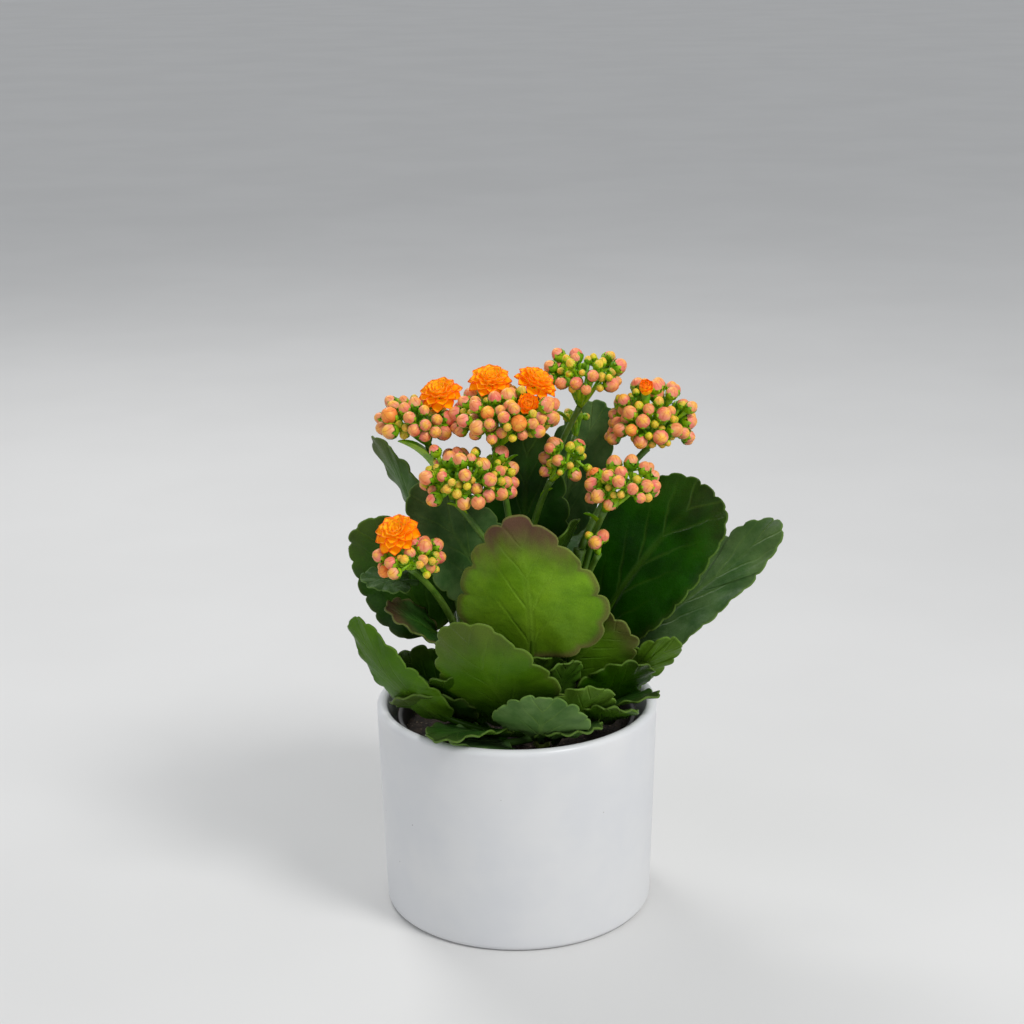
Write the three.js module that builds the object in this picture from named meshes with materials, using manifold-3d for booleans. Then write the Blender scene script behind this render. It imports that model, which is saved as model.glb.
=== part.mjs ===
// A potted kalanchoe with double orange flowers, standing in a plain straight-sided cover pot.
// Millimetres, +Z up, front towards -Y. The origin is the centre of the cover pot's foot.

import * as THREE from 'three';
import { mergeVertices } from 'three/addons/utils/BufferGeometryUtils.js';
import Module from 'manifold-3d';

const wasm = await Module();
wasm.setup();

// ---------------------------------------------------------------- driving dimensions

const GAP = 0.4; // clearance kept between pieces that touch

const COVER_POT = { height: 106, topRadius: 70, footRadius: 67.2, wall: 5.5, floor: 7, corner: 3, sides: 44 };

const GROW_POT = { height: 91, topRadius: 60, footRadius: 46, wall: 1.4, floor: 2, sides: 32 };
const DRAIN = { count: 6, radius: 4, ring: 28, sides: 8 };

const SOIL = { height: 91, wave: 1.1, sides: 32, rings: 5 };

const STEM = { rootDepth: 14, footRadius: 4.2, topRadius: 2.8, sides: 7, steps: 5 };

const LEAF = { sides: 8, lobes: 5, notch: 0.07, bluntness: 0.7, cup: 0.12, midrib: 1.1, edge: 0.5 };
const PETIOLE_RADIUS = 1.9;

const STALK = { footRadius: 1.9, topRadius: 1.3, sides: 6, steps: 6 };

const BUD = { radius: 3.1, length: 8, pedicel: 0.55, branch: 0.8, fork: 1.5, sides: 4, reach: 112 };

const FLOWER = { radius: 10.5, depth: 7, petals: 10, notch: 0.14, calyx: 2.2 };

const GOLDEN_ANGLE = Math.PI * (3 - Math.sqrt(5));

const CERAMIC = { color: 0xe3e4e6, roughness: 0.55 };
const PLASTIC = { color: 0x2a2320, roughness: 0.5 };
const PEAT = { color: 0x3a2a1e, roughness: 1.0 };
const STEM_GREEN = { color: 0x5d7a2c, roughness: 0.6 };
const LEAF_GREEN = { color: 0x35601f, roughness: 0.4 };
const BUD_SALMON = { color: 0xee8a68, roughness: 0.5 };
const PETAL_ORANGE = { color: 0xf56d12, roughness: 0.5 };

// A stem stands in the soil at its foot [x, y] and ends at its top [x, y, z].
const STEMS = {
  stem_centre: { foot: [2, 6], top: [7, 7, 182] },
  stem_left: { foot: [-22, 0], top: [-31, -3, 184] },
  stem_right: { foot: [22, 3], top: [32, 3, 182] },
  stem_front: { foot: [12, -22], top: [11, -22, 140] },
  stem_back: { foot: [4, 30], top: [12, 36, 186] },
};

// Each leaf: its stem and its height on it, turn and rise of the line from root to tip in degrees,
// length, width, roll of its face about that line, arch of its back, its petiole's share, and how
// much its blade tapers to the tip.
const LEAVES = {
  leaf_front_tall: ['stem_front', 112, -106, 76, 108, 68, 6, 20, 0.26, 0.5],
  leaf_front_right: ['stem_front', 123, -14, 42, 49, 42, -80, 44, 0.16, 0.15],
  leaf_front_left: ['stem_front', 100, -133, 54, 84, 58, 22, -34, 0.08, 0.3],
  leaf_front_low: ['stem_front', 95, -50, 46, 50, 38, -20, -10, 0.3, 0.2],
  leaf_rim_front: ['stem_front', 95, -90, 43, 57, 46, -6, -60, 0.42, 0.2],
  leaf_rim_left: ['stem_front', 94, -143, 16, 57, 28, -4, -20, 0.3, 0.2],
  leaf_left_low: ['stem_front', 96, -178, 36, 106, 28, 50, -70, 0.38, 0.1],
  leaf_left_dark: ['stem_left', 118, 185, 62, 94, 43, 82, 10, 0.28, 0.2],
  leaf_left_narrow: ['stem_left', 162, 142, 56, 86, 30, 60, 10, 0.22, 0.25],
  leaf_left_broad: ['stem_centre', 137, 200, 60, 96, 42, -78, 10, 0.32, 0.25],
  leaf_left_oval: ['stalk_low_left', 176, 192, 10, 28, 19, -30, 20, 0.15, 0.25],
  leaf_left_brown: ['stem_left', 136, 218, 34, 50, 28, -30, 10, 0.24, 0.25],
  leaf_left_shaded: ['stem_left', 104, 207, 36, 41, 37, -50, 20, 0.2, 0.2],
  leaf_right_dark: ['stem_right', 128, 12, 50, 106, 66, 40, 20, 0.15, 0.05],
  leaf_right_far: ['stem_right', 112, 2, 38, 130, 42, 34, 10, 0.2, 0.3],
  leaf_right_light: ['stem_right', 100, -26, 38, 72, 22, -60, 10, 0.15, 0.25],
  leaf_right_rim: ['stem_right', 94, -36, 25, 56, 28, 0, 10, 0.15, 0.25],
  leaf_right_small: ['stem_front', 109, -56, 60, 36, 30, 0, 20, 0.15, 0.2],
  leaf_centre_tall: ['stem_centre', 152, 88, 84, 88, 44, 0, 10, 0.15, 0.25],
  leaf_centre_low: ['stem_centre', 104, -112, 52, 38, 32, 0, 20, 0.15, 0.2],
  leaf_centre_dark: ['stem_centre', 134, -38, 68, 74, 38, 16, 16, 0.15, 0.1],
  leaf_top_right: ['stem_back', 150, 26, 70, 102, 36, 40, 10, 0.3, 0.15],
  leaf_back_left: ['stem_back', 112, 150, 45, 90, 58, 0, 24, 0.15, 0.25],
  leaf_back_right: ['stem_back', 118, 40, 44, 92, 60, 0, 24, 0.15, 0.25],
  leaf_back_mid: ['stem_back', 104, 92, 38, 84, 58, 0, 24, 0.15, 0.25],
  leaf_back_tall: ['stem_back', 184, 134, 76, 62, 32, 0, 10, 0.15, 0.25],
};

// Each flower stalk: its stem, its height on it (0 for the stem's top) and the fork it ends in.
const STALKS = {
  stalk_far_left: ['stem_left', 0, [-41, -4, 238]],
  stalk_left: ['stem_centre', 168, [-9, -4, 236]],
  stalk_mid_left: ['stem_front', 0, [-30, -22, 216]],
  stalk_centre: ['stem_centre', 0, [18, -3, 219]],
  stalk_centre_right: ['stem_right', 150, [43, -19, 208]],
  stalk_right: ['stem_right', 0, [66, 14, 230]],
  stalk_top: ['stem_back', 0, [33, 20, 250]],
  stalk_back_small: ['stem_back', 170, [31, 37, 231]],
  stalk_low_left: ['stem_left', 142, [-50, -40, 187]],
  stalk_tiny: ['stem_right', 136, [40, -24, 188]],
};

// Each head of buds: its stalk, its centre, its radius across and up, and how many buds it has.
const HEADS = {
  buds_far_left: ['stalk_far_left', [-46, -2, 251], 18, 9, 15],
  buds_left: ['stalk_left', [-4, -6, 255], 23, 11, 24],
  buds_mid_left: ['stalk_mid_left', [-21, -26, 228], 20, 11, 24],
  buds_centre: ['stalk_centre', [25, -6, 230], 10, 9, 12],
  buds_centre_right: ['stalk_centre_right', [51, -20, 222], 15, 10, 18],
  buds_right: ['stalk_right', [67, 15, 244], 19, 17, 34],
  buds_top: ['stalk_top', [35, 20, 267], 17, 9, 19],
  buds_back_small: ['stalk_back_small', [32, 38, 240], 6, 4, 7],
  buds_low_left: ['stalk_low_left', [-49, -44, 198], 15, 9, 15],
  buds_tiny: ['stalk_tiny', [39, -25, 196], 6, 3, 3],
};

// Each open flower: the head it belongs to, the centre of its foot, the way it faces, its scale.
const FLOWERS = {
  open_flower_left: ['buds_far_left', [-34, 0, 259], -110, 60, 1],
  open_flower_mid: ['buds_left', [-11, 0, 265], -80, 62, 1],
  open_flower_right: ['buds_left', [9, 0, 264], -30, 58, 1],
  open_flower_half: ['buds_left', [7, -10, 256], -90, 40, 0.62],
  open_flower_low: ['buds_low_left', [-54, -45, 204], -105, 50, 1],
  open_flower_young: ['buds_right', [64, 8, 258], -90, 50, 0.6],
};

// ---------------------------------------------------------------- geometry helpers

const radians = THREE.MathUtils.degToRad;
const vector = (values) => new THREE.Vector3(...values);

/** Merges the shared corners of a geometry and drops the faces that close up to nothing. */
function weld(geometry) {
  const bare = new THREE.BufferGeometry();
  bare.setAttribute('position', geometry.getAttribute('position').clone());
  bare.setIndex(geometry.getIndex());
  const welded = mergeVertices(bare, 1e-4);
  const index = welded.getIndex().array;
  const kept = [];
  for (let i = 0; i < index.length; i += 3) {
    const [a, b, c] = [index[i], index[i + 1], index[i + 2]];
    if (a !== b && b !== c && c !== a) kept.push(a, b, c);
  }
  welded.setIndex(kept);
  return welded;
}

/** Signed volume of a closed geometry: positive when its faces point out. */
function volumeOf(geometry) {
  const position = geometry.getAttribute('position');
  const index = geometry.getIndex();
  const [a, b, c] = [new THREE.Vector3(), new THREE.Vector3(), new THREE.Vector3()];
  let volume = 0;
  for (let i = 0; i < index.count; i += 3) {
    a.fromBufferAttribute(position, index.getX(i));
    b.fromBufferAttribute(position, index.getX(i + 1));
    c.fromBufferAttribute(position, index.getX(i + 2));
    volume += a.dot(b.cross(c)) / 6;
  }
  return volume;
}

/** A welded copy whose faces point out. */
function closed(geometry) {
  const shell = weld(geometry);
  if (volumeOf(shell) < 0) {
    const index = Array.from(shell.getIndex().array);
    shell.setIndex(index.reverse());
  }
  return shell;
}

function toSolid(geometry) {
  const shell = closed(geometry);
  const vertProperties = new Float32Array(shell.getAttribute('position').array);
  const triVerts = new Uint32Array(shell.getIndex().array);
  return new wasm.Manifold(new wasm.Mesh({ numProp: 3, vertProperties, triVerts }));
}

function toGeometry(solid) {
  const { vertProperties, triVerts } = solid.getMesh();
  const geometry = new THREE.BufferGeometry();
  geometry.setAttribute('position', new THREE.BufferAttribute(vertProperties, 3));
  geometry.setIndex(Array.from(triVerts));
  return geometry;
}

/** Joins overlapping closed geometries into one body. */
function join(geometries) {
  return toGeometry(geometries.map(toSolid).reduce((whole, piece) => whole.add(piece)));
}

/** Moves every vertex of a geometry to place(vertex). */
function reshape(geometry, place) {
  const position = geometry.getAttribute('position');
  const vertex = new THREE.Vector3();
  for (let i = 0; i < position.count; i += 1) {
    vertex.fromBufferAttribute(position, i);
    const moved = place(vertex, i);
    position.setXYZ(i, moved.x, moved.y, moved.z);
  }
  return geometry;
}

/** A round body about +Z from a profile of [radius, height] points. */
function turned(profile, sides) {
  const points = profile.map(([radius, height]) => new THREE.Vector2(radius, height));
  return new THREE.LatheGeometry(points, sides).rotateX(Math.PI / 2);
}

/** A tapering round rod along a curve. */
function rod(curve, footRadius, topRadius, sides, steps) {
  const profile = [[0, 0]];
  for (let step = 0; step <= steps; step += 1) {
    const share = step / steps;
    profile.push([THREE.MathUtils.lerp(footRadius, topRadius, share), share]);
  }
  profile.push([0, 1]);
  const front = new THREE.Vector3(0, 1, 0);
  return reshape(turned(profile, sides), (vertex) => {
    const tangent = curve.getTangent(vertex.z);
    const across = front.clone().cross(tangent).normalize();
    const deep = tangent.clone().cross(across);
    return curve.getPoint(vertex.z).addScaledVector(across, vertex.x).addScaledVector(deep, vertex.y);
  });
}

/** Stands a shape made along +Z on a point, with its axis aimed at another point. */
function aim(geometry, from, to) {
  const direction = to.clone().sub(from).normalize();
  const turn = new THREE.Quaternion().setFromUnitVectors(new THREE.Vector3(0, 0, 1), direction);
  return geometry.applyQuaternion(turn).translate(from.x, from.y, from.z);
}

/** A unit vector from its turn about +Z and its rise above the level. */
function heading(turn, rise) {
  const [across, up] = [radians(turn), radians(rise)];
  return new THREE.Vector3(
    Math.cos(up) * Math.cos(across),
    Math.cos(up) * Math.sin(across),
    Math.sin(up),
  );
}

const plant = new THREE.Group();

function piece(name, geometry, finish) {
  const material = new THREE.MeshStandardMaterial({ ...finish, metalness: 0 });
  const mesh = new THREE.Mesh(closed(geometry), material);
  mesh.name = name;
  mesh.geometry.computeVertexNormals();
  plant.add(mesh);
  return mesh;
}

// ---------------------------------------------------------------- pots and soil

/** A straight-sided ceramic pot with a rounded lip and a flat foot. */
function coverPot() {
  const { height, topRadius, footRadius, wall, floor, corner, sides } = COVER_POT;
  const lip = wall / 2;
  const outline = new THREE.Path();
  outline.moveTo(0, 0);
  outline.lineTo(footRadius - corner, 0);
  outline.quadraticCurveTo(footRadius, 0, footRadius, corner);
  outline.lineTo(topRadius, height - lip);
  outline.absarc(topRadius - lip, height - lip, lip, 0, Math.PI, false);
  outline.lineTo(footRadius - wall, floor + corner);
  outline.quadraticCurveTo(footRadius - wall, floor, footRadius - wall - corner, floor);
  outline.lineTo(0, floor);
  const profile = outline.getPoints(3).map((point) => [point.x, point.y]);
  return turned(profile, sides);
}

/** Radius of the grow pot's inner wall at a height above its own foot. */
function growPotInside(height) {
  const { footRadius, topRadius, wall } = GROW_POT;
  return THREE.MathUtils.lerp(footRadius, topRadius, height / GROW_POT.height) - wall;
}

/** A thin tapered nursery pot with drain holes in its floor. */
function growPot() {
  const { height, topRadius, footRadius, wall, floor, sides } = GROW_POT;
  const shell = turned([
    [0, 0],
    [footRadius, 0],
    [topRadius, height],
    [topRadius - wall, height],
    [growPotInside(floor), floor],
    [0, floor],
  ], sides);
  let solid = toSolid(shell);
  for (let i = 0; i < DRAIN.count; i += 1) {
    const drain = new THREE.CylinderGeometry(DRAIN.radius, DRAIN.radius, 4 * floor, DRAIN.sides);
    drain.rotateX(Math.PI / 2).translate(DRAIN.ring, 0, 0).rotateZ((2 * Math.PI * i) / DRAIN.count);
    solid = solid.subtract(toSolid(drain));
  }
  return toGeometry(solid).translate(0, 0, COVER_POT.floor + GAP);
}

/** Gentle unevenness of the soil's top. */
function soilWave(x, y) {
  return SOIL.wave * (Math.sin(0.21 * x + 1) * Math.cos(0.17 * y) + 0.5 * Math.sin(0.4 * y - 0.3 * x));
}

/** Soil that fills the grow pot, with a socket for each stem. */
function soil() {
  const lift = COVER_POT.floor + GAP;
  const foot = GROW_POT.floor + GAP;
  const top = SOIL.height - lift;
  const profile = [[0, foot], [growPotInside(foot) - GAP, foot]];
  for (let ring = SOIL.rings; ring > 0; ring -= 1) {
    profile.push([((growPotInside(top) - GAP) * ring) / SOIL.rings, top]);
  }
  profile.push([0, top]);
  const body = reshape(turned(profile, SOIL.sides), (vertex) => {
    if (vertex.z > top - 1) vertex.z += soilWave(vertex.x, vertex.y);
    return vertex;
  });
  let solid = toSolid(body.translate(0, 0, lift));
  for (const name of Object.keys(STEMS)) solid = solid.subtract(toSolid(stem(name, GAP)));
  return toGeometry(solid);
}

// ---------------------------------------------------------------- stems and stalks

/** A stem's centreline, which rises evenly from under the soil to its top. */
function stemCurve(name, extra = 0) {
  const { foot, top } = STEMS[name];
  const low = SOIL.height - STEM.rootDepth - extra;
  return new THREE.QuadraticBezierCurve3(
    vector([...foot, low]),
    vector([...foot, (low + top[2]) / 2]),
    vector(top),
  );
}

function stem(name, extra = 0) {
  const { footRadius, topRadius, sides, steps } = STEM;
  return rod(stemCurve(name, extra), footRadius + extra, topRadius + extra, sides, steps);
}

/** A point just outside a curve at a height, towards turn, where something of a radius grows out. */
function budPoint(curve, height, turn, curveRadius, radius) {
  let [low, high] = [0, 1];
  for (let i = 0; i < 20; i += 1) {
    const middle = (low + high) / 2;
    if (curve.getPoint(middle).z < height) low = middle;
    else high = middle;
  }
  return curve.getPoint(low).addScaledVector(heading(turn, 0), curveRadius + GAP + radius);
}

/** The foot of a flower stalk: on top of its stem, or beside it at a height. */
function stalkFoot(name) {
  const [stemName, height, fork] = STALKS[name];
  const top = vector(STEMS[stemName].top);
  if (height === 0) return top.add(new THREE.Vector3(0, 0, 2 * GAP));
  const turn = THREE.MathUtils.radToDeg(Math.atan2(fork[1] - top.y, fork[0] - top.x));
  return budPoint(stemCurve(stemName), height, turn, STEM.footRadius, STALK.footRadius);
}

/** A flower stalk's centreline rises steeply at first, then leans out to its fork. */
function stalkCurve(name) {
  const foot = stalkFoot(name);
  const fork = vector(STALKS[name][2]);
  const across = fork.clone().sub(foot);
  const bend = foot.clone().add(new THREE.Vector3(0.3 * across.x, 0.3 * across.y, 0.55 * across.z));
  return new THREE.QuadraticBezierCurve3(foot, bend, fork);
}

function stalk(name) {
  return rod(stalkCurve(name), STALK.footRadius, STALK.topRadius, STALK.sides, STALK.steps);
}

// ---------------------------------------------------------------- leaves

/** Half the width of a blade at an angle that runs from 0 at its base to pi at its tip. */
function bladeHalfWidth(angle, width, taper) {
  return (width / 2) * Math.sin(angle) ** LEAF.bluntness * (1 + taper * Math.cos(angle));
}

/**
 * A fleshy leaf along +X with its upper face towards +Z, from a sphere whose poles become the
 * root and the tip. The first two rings are the petiole, and then every second ring is a notch.
 */
function leafBlade(length, width, arch, petiole, taper) {
  const bladeRings = 2 * LEAF.lobes + 1;
  const rings = bladeRings + 2;
  const sphere = new THREE.SphereGeometry(1, LEAF.sides, rings);
  const uv = sphere.getAttribute('uv');
  const bend = radians(arch) / 2;
  const arc = (length * bend) / Math.sin(bend);
  return reshape(sphere, (vertex, i) => {
    const ring = Math.round((1 - uv.getY(i)) * rings);
    const around = 2 * Math.PI * uv.getX(i);
    const across = Math.cos(around);
    const angle = (Math.PI * Math.max(ring - 2, 0)) / bladeRings;
    let share = petiole + ((1 - petiole) * (1 - Math.cos(angle))) / 2;
    let half = bladeHalfWidth(angle, width, taper);
    let thick = LEAF.edge + (LEAF.midrib - LEAF.edge) * (1 - across * across);
    if (ring > 2 && (ring - 2) % 2 === 0) half *= 1 - LEAF.notch;
    if (ring < 3) {
      share = ring < 2 ? 0 : petiole;
      half = PETIOLE_RADIUS;
      thick = PETIOLE_RADIUS;
    }
    if (ring === 0 || ring === rings) {
      half = 0;
      thick = 0;
    }
    const lift = thick * Math.sin(around) + (ring > 2 ? LEAF.cup * half * across * across : 0);
    const slope = bend * (1 - 2 * share);
    const reach = (arc / (2 * bend)) * (Math.sin(bend) - Math.sin(slope));
    const rise = (arc / (2 * bend)) * (Math.cos(slope) - Math.cos(bend));
    return new THREE.Vector3(
      reach - Math.sin(slope) * lift,
      half * across,
      rise + Math.cos(slope) * lift,
    );
  });
}

/** Places a leaf's mesh: root on its stem, line to the tip along turn and rise, face rolled. */
function addLeaf(name) {
  const [stemName, height, turn, rise, length, width, roll, ...form] = LEAVES[name];
  const mesh = piece(name, leafBlade(length, width, ...form), LEAF_GREEN);
  const along = heading(turn, rise);
  const side = heading(turn + 90, 0);
  const face = along.clone().cross(side);
  mesh.quaternion.setFromRotationMatrix(new THREE.Matrix4().makeBasis(along, side, face));
  mesh.rotateX(radians(roll));
  const onStem = stemName in STEMS;
  const curve = onStem ? stemCurve(stemName) : stalkCurve(stemName);
  const curveRadius = onStem ? STEM.footRadius : STALK.footRadius;
  mesh.position.copy(budPoint(curve, height, turn, curveRadius, PETIOLE_RADIUS));
}

// ---------------------------------------------------------------- buds and flowers

/** A branch from one point to another that swells into a bud of the given radius at its end. */
function twig(from, to, thickness, budRadius, budLength) {
  const length = from.distanceTo(to);
  const neck = length - budLength;
  const profile = [[0, 0], [thickness, neck], [budRadius, neck + 0.45 * budLength], [0, length]];
  return aim(turned(profile, BUD.sides), from, to);
}

/** The point of a head's rounded surface that is number i of count, spaced by the golden angle. */
function domePoint(centre, across, up, i, count) {
  const polar = radians(BUD.reach) * Math.sqrt((i + 0.5) / count);
  const turn = i * GOLDEN_ANGLE;
  return new THREE.Vector3(
    centre.x + across * Math.sin(polar) * Math.cos(turn),
    centre.y + across * Math.sin(polar) * Math.sin(turn),
    centre.z + up * Math.cos(polar),
  );
}

/** The middle of an open flower, and the point under it where its branch ends. */
function flowerSeat(name) {
  const [, foot, turn, rise, scale] = FLOWERS[name];
  const facing = heading(turn, rise);
  const middle = vector(foot).addScaledVector(facing, (scale * FLOWER.depth) / 2);
  const seat = vector(foot).addScaledVector(facing, -GAP);
  return { middle, seat, scale };
}

function nearest(points, target) {
  return points.reduce((best, point) => (
    point.distanceTo(target) < best.distanceTo(target) ? point : best
  ));
}

/** A head of buds: branches from the stalk's fork, shorter ones from those, and a bud on each. */
function budHead(name) {
  const [stalkName, centreValues, across, up, count] = HEADS[name];
  const centre = vector(centreValues);
  const stalkLine = stalkCurve(stalkName);
  const fork = stalkLine.getPoint(1).addScaledVector(stalkLine.getTangent(1), BUD.fork + GAP);
  const seats = Object.keys(FLOWERS).filter((key) => FLOWERS[key][0] === name).map(flowerSeat);
  const shapes = [new THREE.IcosahedronGeometry(BUD.fork).translate(fork.x, fork.y, fork.z)];
  const branchEnds = [];
  const branches = Math.ceil(count / 5);
  for (let i = 0; i < branches; i += 1) {
    const end = domePoint(centre, 0.5 * across, 0.2 * up, i, branches);
    branchEnds.push(end);
    shapes.push(twig(fork, end, BUD.branch, 1.1 * BUD.branch, 2));
    shapes.push(new THREE.OctahedronGeometry(1.6 * BUD.branch).translate(end.x, end.y, end.z));
  }
  for (let i = 0; i < count; i += 1) {
    const place = domePoint(centre, across, up, i, count);
    const clear = seats.every(({ middle, scale }) => (
      middle.distanceTo(place) > scale * FLOWER.radius + BUD.radius
    ));
    if (!clear) continue;
    const start = nearest(branchEnds, place);
    const tip = place.clone().sub(start).setLength(BUD.length / 2).add(place);
    shapes.push(twig(start, tip, BUD.pedicel, BUD.radius, BUD.length));
  }
  for (const { seat } of seats) shapes.push(twig(fork, seat, BUD.branch, FLOWER.calyx, 3));
  return join(shapes);
}

/** A double flower as a scalloped rosette on its foot, facing its own way. */
function openFlower(name) {
  const [, foot, turn, rise, scale] = FLOWERS[name];
  const { radius, depth, petals, notch } = FLOWER;
  const profile = [
    [0, 0],
    [0.25 * radius, 0],
    [0.8 * radius, 0.45 * depth],
    [radius, 0.72 * depth],
    [0.55 * radius, depth],
    [0, 0.85 * depth],
  ];
  const rosette = reshape(turned(profile, 2 * petals), (vertex) => {
    const step = Math.round((Math.atan2(vertex.y, vertex.x) * petals) / Math.PI);
    const pinch = Math.abs(step) % 2 === 1 ? 1 - notch : 1;
    return new THREE.Vector3(vertex.x * pinch, vertex.y * pinch, vertex.z);
  });
  rosette.scale(scale, scale, scale);
  return aim(rosette, vector(foot), vector(foot).add(heading(turn, rise)));
}

// ---------------------------------------------------------------- the plant in its pot

piece('cover_pot', coverPot(), CERAMIC);
piece('grow_pot', growPot(), PLASTIC);
piece('soil', soil(), PEAT);
for (const name of Object.keys(STEMS)) piece(name, stem(name), STEM_GREEN);
for (const name of Object.keys(LEAVES)) addLeaf(name);
for (const name of Object.keys(STALKS)) piece(name, stalk(name), STEM_GREEN);
for (const name of Object.keys(HEADS)) piece(name, budHead(name), BUD_SALMON);
for (const name of Object.keys(FLOWERS)) piece(name, openFlower(name), PETAL_ORANGE);

export default plant;
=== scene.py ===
import math
import random
from itertools import combinations

import bmesh
import bpy
from mathutils import Euler, Matrix, Vector, noise


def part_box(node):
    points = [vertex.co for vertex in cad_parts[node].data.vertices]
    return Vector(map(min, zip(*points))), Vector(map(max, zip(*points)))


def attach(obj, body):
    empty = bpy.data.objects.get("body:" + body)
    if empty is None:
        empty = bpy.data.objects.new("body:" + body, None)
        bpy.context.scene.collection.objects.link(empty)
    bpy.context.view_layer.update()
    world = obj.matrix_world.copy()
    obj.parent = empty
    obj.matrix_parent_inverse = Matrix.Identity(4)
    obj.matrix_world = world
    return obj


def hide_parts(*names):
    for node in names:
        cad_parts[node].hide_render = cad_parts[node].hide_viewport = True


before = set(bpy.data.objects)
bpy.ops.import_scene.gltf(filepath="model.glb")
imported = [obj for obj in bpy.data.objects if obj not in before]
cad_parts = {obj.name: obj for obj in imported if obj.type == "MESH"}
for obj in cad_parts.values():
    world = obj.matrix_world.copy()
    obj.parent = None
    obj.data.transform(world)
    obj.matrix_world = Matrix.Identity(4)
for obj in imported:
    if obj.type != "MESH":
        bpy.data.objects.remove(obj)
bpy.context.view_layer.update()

# A potted kalanchoe with double orange flowers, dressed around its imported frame.
# Metres, +Z up, front towards -Y, the pot's axis on the origin.

MM = 0.001
UP = Vector((0, 0, 1))
GOLDEN_ANGLE = math.pi * (3 - math.sqrt(5))

# Each leaf: turn and rise of the line from root to tip in degrees, length, width, roll of its face,
# arch of its back, its petiole's share, its taper and the pitch of its lobes in mm, then its look
# from 0 to 1: how light its underside is (set low for leaves that sit in shade, so it holds painted shade as
# well as the leaf's own tone), the blush of its margin and its grey bloom.
LEAVES = {
    "leaf_front_tall": (-106, 76, 108, 68, 6, 20, 0.26, 0.5, 17, 1.0, 1.0, 0.2),
    "leaf_front_right": (-14, 42, 49, 42, -80, 44, 0.16, 0.15, 12, 0.3, 0.6, 0.1),
    "leaf_front_left": (-133, 54, 84, 58, 22, -34, 0.08, 0.3, 12, 0.3, 0.3, 0.1),
    "leaf_front_low": (-50, 46, 50, 38, -20, -10, 0.3, 0.2, 11, 0.4, 0.1, 0.3),
    "leaf_rim_front": (-90, 43, 57, 46, -6, -60, 0.42, 0.2, 8, 0.3, 0.0, 1.0),
    "leaf_rim_left": (-143, 16, 57, 28, -4, -20, 0.3, 0.2, 10, 0.4, 0.0, 0.9),
    "leaf_left_low": (-178, 36, 106, 28, 50, -70, 0.38, 0.1, 7, 0.25, 0.0, 0.1),
    "leaf_left_dark": (185, 62, 94, 43, 82, 10, 0.28, 0.2, 10, 0.0, 0.2, 0.1),
    "leaf_left_narrow": (142, 56, 86, 30, 60, 10, 0.22, 0.25, 9, 0.1, 0.3, 0.7),
    "leaf_left_broad": (200, 60, 96, 42, -78, 10, 0.32, 0.25, 11, 0.2, 0.1, 0.75),
    "leaf_left_oval": (192, 10, 28, 19, -30, 20, 0.15, 0.25, 8, 0.2, 0.0, 0.9),
    "leaf_left_brown": (218, 34, 50, 28, -30, 10, 0.24, 0.25, 8, 0.3, 0.8, 0.2),
    "leaf_left_shaded": (207, 36, 41, 37, -50, 20, 0.2, 0.2, 9, 0.0, 0.3, 0.1),
    "leaf_right_dark": (12, 50, 106, 66, 40, 20, 0.15, 0.05, 10, 0.3, 0.1, 0.0),
    "leaf_right_far": (2, 38, 130, 42, 34, 10, 0.2, 0.3, 9, 0.6, 0.1, 0.6),
    "leaf_right_light": (-26, 38, 72, 22, -60, 10, 0.15, 0.25, 9, 0.4, 0.1, 0.2),
    "leaf_right_rim": (-36, 25, 56, 28, 0, 10, 0.15, 0.25, 9, 0.2, 0.1, 0.2),
    "leaf_right_small": (-56, 60, 36, 30, 0, 20, 0.15, 0.2, 9, 0.1, 0.1, 0.2),
    "leaf_centre_tall": (88, 84, 88, 44, 0, 10, 0.15, 0.25, 12, 0.3, 0.1, 0.1),
    "leaf_centre_low": (-112, 52, 38, 32, 0, 20, 0.15, 0.2, 9, 0.0, 0.1, 0.1),
    "leaf_centre_dark": (-38, 68, 74, 38, 16, 16, 0.15, 0.1, 11, 0.1, 0.1, 0.1),
    "leaf_top_right": (26, 70, 102, 36, 40, 10, 0.3, 0.15, 10, 0.2, 0.0, 0.9),
    "leaf_back_left": (150, 45, 90, 58, 0, 24, 0.15, 0.25, 13, 0.4, 0.4, 0.3),
    "leaf_back_right": (40, 44, 92, 60, 0, 24, 0.15, 0.25, 14, 0.4, 0.4, 0.3),
    "leaf_back_mid": (92, 38, 84, 58, 0, 24, 0.15, 0.25, 13, 0.6, 0.3, 0.3),
    "leaf_back_tall": (134, 76, 62, 32, 0, 10, 0.15, 0.25, 10, 0.3, 0.2, 0.8),
}

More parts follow.
